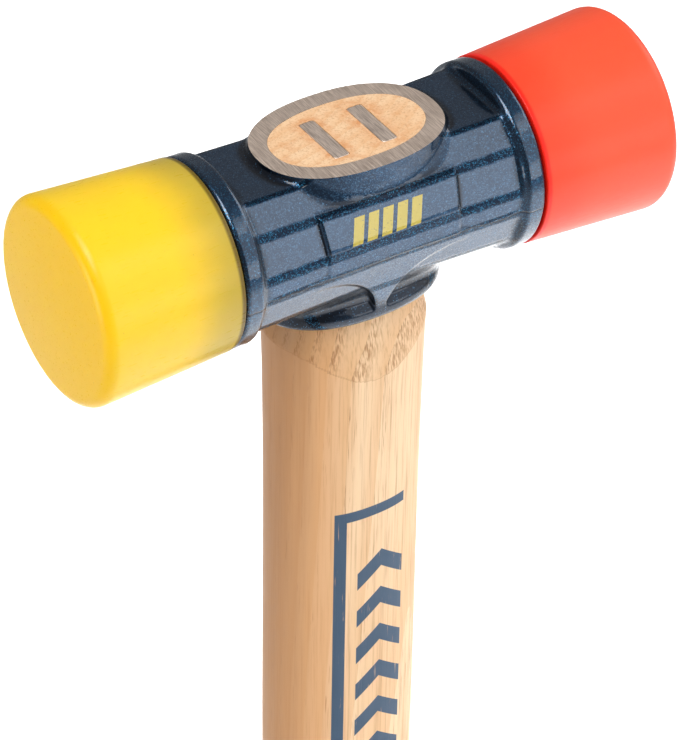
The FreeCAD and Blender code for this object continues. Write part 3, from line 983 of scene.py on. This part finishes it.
def growth_ring(wood):
    """Place within a growth ring, from 0 to 1, round a pith beside the handle."""
    bend = wood.noise((0.05, 0.05, 0.006), 2)
    across = wood.plus(wood.x, wood.times(bend, RING_BEND), -PITH[0])
    through = wood.minus(wood.plus(wood.y, wood.times(wood.z, PITH_LEAN)), PITH[1])
    reach = wood.calc("SQRT", wood.plus(wood.calc("POWER", across, 2.0),
                                        wood.calc("POWER", through, 2.0)))
    return wood.calc("FRACT", wood.times(reach, RINGS_PER_MM))


def wood_grain(wood, tones):
    """Colour and relief of hickory with long pores, and the noises that they come from."""
    pale, deep, streak = tones
    ring = growth_ring(wood)
    fine = wood.noise((2.6, 2.6, 0.05), 5, 0.65)
    pores = wood.noise((5.0, 5.0, 0.16), 2, 0.5, (7.0, 3.0, 1.0))
    pore = wood.times(wood.between(pores, 0.6, 0.7), wood.between(ring, 0.45, 0.05))
    broad = wood.noise((0.16, 0.16, 0.012), 3)
    base = wood.layered(pale, (wood.between(broad, 0.35, 0.75, 0.0, 0.6), deep),
                        (wood.times(wood.between(ring, 0.35, 0.95), 0.5), deep),
                        (wood.between(fine, 0.45, 0.75, 0.0, 0.55), streak),
                        (wood.times(pore, 0.75), streak))
    height = wood.minus(wood.times(fine, 0.4), pore)
    return base, height, {"ring": ring, "fine": fine, "pores": pores, "broad": broad}


def wood_surface(wood, base, height, fine):
    return wood.finish(Base_Color=base, Roughness=wood.between(fine, 0.2, 0.8, 0.42, 0.58),
                       Normal=wood.bump(height, 0.06, 0.8), Specular_IOR_Level=0.35)


def side_wood():
    """Long grain, darker and browner towards -x, partly the wood's tone and partly painted shade,
    with a rough cut shoulder and the printed mark.
    """
    wood = Finish("hickory")
    deep, streak = SIDE_TONES[1:]
    base, height, grain = wood_grain(wood, SIDE_TONES)
    side = wood.plus(wood.x, wood.times(grain["broad"], 4.0))
    cut = wood.mask("shoulder")
    rough_cut = wood.times(cut, wood.between(grain["pores"], 0.42, 0.62, 0.0, 0.7),
                           wood.between(grain["ring"], 0.7, 0.1))
    base = wood.layered(base,
                        # darker towards -x: partly the wood's tone, partly painted shade on the side
                        # turned from the light
                        (wood.between(side, -1.0, -8.0, 0.0, 0.7), rgb(218, 158, 102)),
                        # painted shade along the far -x edge
                        (wood.between(side, -7.5, -12.0, 0.0, 0.8), rgb(184, 132, 86)),
                        (rough_cut, streak),
                        (wood.times(cut, 0.15), deep),
                        (wood.times(wood.band(cut, 0.2, 0.8, 0.15), 0.28), streak),
                        (handle_mark(wood), rgb(52, 78, 104)))
    return wood_surface(wood, base, height, grain["fine"])


def end_wood():
    """End grain on top of the tenon, crushed and darker round the wedges."""
    wood = Finish("hickory_end")
    base, height, grain = wood_grain(wood, END_TONES)
    patch = wood.between(wood.noise((0.35, 0.5, 0.3), 4, 0.6, (3.0, 1.0, 0.0)), 0.5, 0.66)
    off_wedge = wood.absolute(wood.minus(wood.absolute(wood.x), WEDGE_MIDDLE))
    crushed = wood.times(wood.between(off_wedge, 3.6, 1.4),
                         wood.between(wood.absolute(wood.y), 7.6, 4.6),
                         wood.between(patch, 0.0, 0.6, 0.35, 0.75))
    weave = wood.noise((3.5, 1.2, 1.0), 4, 0.7)
    base = wood.layered(base, (wood.times(patch, 0.3), rgb(212, 136, 74)),
                        (crushed, rgb(216, 142, 84)),
                        (wood.between(weave, 0.45, 0.75, 0.0, 0.4), rgb(240, 208, 166)))
    height = wood.plus(height, wood.times(weave, 0.8))
    return wood_surface(wood, base, height, grain["fine"])


def handle_mark(wood):
    """Printed upright bar and a ladder of chevrons, broken by the grain."""
    strips = [wood.times(wood.band(wood.x, *across, MARK_SOFT),
                         wood.band(wood.z, *heights, 0.05)) for across, heights in (BAR, CAP)]
    slope = wood.absolute(wood.minus(wood.x, CHEVRON_MIDDLE))
    rise = wood.plus(wood.z, wood.times(slope, CHEVRON_SLOPE))
    step = wood.calc("FRACT", wood.times(rise, 1 / CHEVRON_PITCH))
    chevrons = wood.times(wood.between(step, 0.55, 0.565),
                          wood.band(wood.x, *CHEVRON_ACROSS, MARK_SOFT),
                          wood.between(rise, CHEVRON_TOP, CHEVRON_TOP - 0.1))
    gaps = wood.noise((4.0, 4.0, 0.12), 3, 0.6, (2.0, 5.0, 0.0))
    return wood.times(wood.most(*strips, chevrons),
                      wood.band(wood.z, *PRINT_HEIGHTS, 0.05),
                      wood.between(gaps, 0.66, 0.74, 1.0, 0.15),
                      wood.between(wood.y, -5.0, -6.0))


def plastic(name, rough, body, inner, rim, face):
    """Moulded plastic; the metal inside darkens the part next to the flange, and a thin band of
    painted shade lies at its base against the flange.
    """
    resin = Finish(name)
    reach = resin.absolute(resin.x)
    cloud = resin.noise((0.05, 0.09, 0.09), 3)
    depth = resin.plus(reach, resin.times(resin.minus(cloud, 0.5), 6.0))
    specks = resin.between(resin.noise((2.4, 2.4, 2.4), 2), 0.7, 0.76)
    base = resin.layered(
        body, (resin.between(depth, 29.0, 40.0, 1.0, 0.0), inner),
        (resin.between(reach, TIP_END - 2.6, TIP_END - 1.2), face),
        # painted shade at the tip's base against the flange, in the rim colour, which also tints the
        # specks
        (resin.between(reach, TIP_START + 0.5, TIP_START + 1.1, 1.0, 0.0), rim),
        (resin.times(specks, 0.25), rim))
    scuffs = resin.noise((0.4, 3.0, 3.0), 4)
    return resin.finish(Base_Color=base,
                        Roughness=resin.between(scuffs, 0.2, 0.8, rough - 0.05, rough + 0.08),
                        Subsurface_Weight=0.25, Subsurface_Radius=(0.6, 0.3, 0.1),
                        Subsurface_Scale=0.006, Specular_IOR_Level=0.3,
                        Normal=resin.bump(resin.noise((0.25, 0.5, 0.5), 4), 0.05, 0.5))


def floor_finish():
    """Matt, nearly white table."""
    table = Finish("floor_white")
    grain = table.noise((0.02, 0.02, 0.02), 2)
    return table.finish(Base_Color=table.mixed(grain, (0.9, 0.9, 0.9, 1), (0.95, 0.95, 0.95, 1)),
                        Roughness=0.9)


# ---- camera, light and floor
# Distances of the camera and the lamps are metres, and turns are degrees.
CAMERA_AZIMUTH = -32.83
CAMERA_ELEVATION = 37.28
CAMERA_ROLL = 0.97
CAMERA_DISTANCE = 0.7
CAMERA_OFFSET = (-0.000967, -0.026962)
CAMERA_LENS = 212.81
FLOOR_SIZE = 6.0
FLOOR_DROP = 0.2  # mm below the butt
POOL_HEIGHT = 1.3
POOL_LEAN = 0.25
POOL_BLEND = 0.6
POOL_SOFTNESS = 0.1
# name, azimuth, distance from the handle, spread, watts
FLOOR_POOLS = (("back_pool", 147, 0.39, 32, 90), ("front_pool", 35, 0.42, 34, 105))
# name, azimuth, elevation, distance, width and height, watts
SOFT_BOXES = (
    ("key", -60, 66, 0.9, (0.5, 0.5), 6),
    ("front", 40, 20, 1.1, (1.2, 1.2), 4.5),
    ("front_high", 37, 48, 1.0, (0.5, 0.28), 0.6),
    ("front_low", 26, 0, 1.0, (0.6, 0.3), 1.0),
    ("right", 88, 28, 1.0, (0.7, 0.7), 3.5),
    ("back", 147, 42, 1.2, (1.5, 1.0), 0.4),
    ("side", -95, -6, 1.0, (0.5, 0.5), 3.2))


def direction(azimuth, elevation):
    """Unit vector from the hammer; azimuth 0 is the marked side, and 90 the soft tip."""
    turn, rise = math.radians(azimuth), math.radians(elevation)
    return Vector((math.sin(turn) * math.cos(rise), -math.cos(turn) * math.cos(rise),
                   math.sin(rise)))


def make_camera():
    """Camera aimed at the head's middle, then shifted and rolled a little."""
    back = direction(CAMERA_AZIMUTH, CAMERA_ELEVATION)
    right = Vector((0, 0, 1)).cross(back).normalized()
    up = back.cross(right)
    tilt = math.radians(CAMERA_ROLL)
    across = math.cos(tilt) * right + math.sin(tilt) * up
    above = math.cos(tilt) * up - math.sin(tilt) * right
    place = (Vector((0, 0, AXIS_Z * MM)) + back * CAMERA_DISTANCE
             + across * CAMERA_OFFSET[0] + above * CAMERA_OFFSET[1])
    data = bpy.data.cameras.new("camera")
    data.lens = CAMERA_LENS
    camera = new_object("camera", data)
    turn = Matrix((across, above, back)).transposed()
    camera.matrix_world = Matrix.Translation(place) @ turn.to_4x4()
    bpy.context.scene.camera = camera


def soft_box(name, azimuth, elevation, distance, size, power):
    """Rectangular lamp aimed at the head."""
    light = bpy.data.lights.new(name, "AREA")
    light.shape = "RECTANGLE"
    light.size, light.size_y = size
    light.energy = power
    lamp = new_object(name, light)
    aim = direction(azimuth, elevation)
    lamp.location = Vector((0, 0, AXIS_Z * MM)) + aim * distance
    lamp.rotation_euler = aim.to_track_quat("Z", "Y").to_euler()


def floor_pool(name, azimuth, distance, spread, power):
    """Lamp over a patch of floor beside the hammer, clear of the hammer itself."""
    light = bpy.data.lights.new(name, "SPOT")
    light.energy = power
    light.spot_size = math.radians(spread)
    light.spot_blend = POOL_BLEND
    light.shadow_soft_size = POOL_SOFTNESS
    lamp = new_object(name, light)
    aim = direction(azimuth, 0)
    lamp.location = aim * (distance + POOL_LEAN) + Vector((0, 0, POOL_HEIGHT))
    back = aim * POOL_LEAN + Vector((0, 0, POOL_HEIGHT))
    lamp.rotation_euler = back.to_track_quat("Z", "Y").to_euler()


def make_world():
    """Weak cool light from all round."""
    world = bpy.data.worlds.new("studio")
    bpy.context.scene.world = world
    world.use_nodes = True
    sky = world.node_tree.nodes["Background"]
    sky.inputs["Color"].default_value = (0.92, 0.95, 1.0, 1)
    sky.inputs["Strength"].default_value = 0.22


def make_floor():
    """Plain pale table under the butt."""
    half = FLOOR_SIZE / 2 / MM
    corners = [(sign_x * half, sign_y * half, -FLOOR_DROP)
               for sign_x, sign_y in ((-1, -1), (1, -1), (1, 1), (-1, 1))]
    floor = mesh_from("floor", corners, [(0, 1, 2, 3)])
    floor.data.materials.append(floor_finish())


# ---- build
def paint_piece(piece, *materials):
    for material in materials:
        piece.data.materials.append(material)


def paint_node(name, material):
    """Better finish on a CAD node that stays as it is."""
    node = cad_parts[name]
    node.data.materials.clear()
    node.data.materials.append(material)


def build():
    """Everything in the scene, piece by piece and then the studio."""
    ground = steel("ground_steel", rgb(250, 232, 216), rgb(206, 184, 166), (9.0, 0.25, 1.0), 0.5)
    wedge_metal = steel("wedge_metal", rgb(250, 232, 216), rgb(204, 184, 168), (7.0, 0.3, 1.0), 0.5)
    dull = steel("turned_steel", rgb(190, 190, 192), rgb(120, 120, 124), (6.0, 0.6, 0.6), 0.3)
    ball = steel("shot_metal", rgb(150, 150, 150), rgb(90, 90, 92), (1.5, 1.5, 1.5), 0.35)
    paint_piece(make_head(), head_paint(), ground)
    paint_piece(make_handle(), side_wood(), end_wood())
    paint_piece(make_wedge(-1, "wedge_left"), wedge_metal)
    paint_piece(make_wedge(1, "wedge_right"), wedge_metal)
    # rim: colour of the painted shade at each tip's base, also used for its specks
    yellow = plastic("hard_amber", 0.3, body=rgb(250, 205, 36), inner=rgb(196, 168, 56),
                     rim=rgb(110, 90, 20), face=rgb(254, 200, 14))
    red = plastic("soft_red", 0.36, body=rgb(250, 88, 54), inner=rgb(246, 74, 42),
                  rim=rgb(255, 36, 18), face=rgb(244, 84, 54))
    for side, name, finish in ((-1, "hard", yellow), (1, "soft", red)):
        paint_piece(make_tip(side, name + "_tip_plastic", name + "_tip_body", name + "_tip"), finish)
        paint_piece(make_spigot(side, name + "_side_spigot"), dull)
        paint_piece(make_insert(side, name + "_insert_ring", name + "_tip_carrier",
                                name + "_tip_insert"), dull)
        paint_node(name + "_side_plug", dull)
        paint_node(name + "_side_shot", ball)
    make_floor()
    make_world()
    make_camera()
    for pool in FLOOR_POOLS:
        floor_pool(*pool)
    for box in SOFT_BOXES:
        soft_box(*box)
    bpy.context.scene.view_settings.view_transform = "Standard"


build()
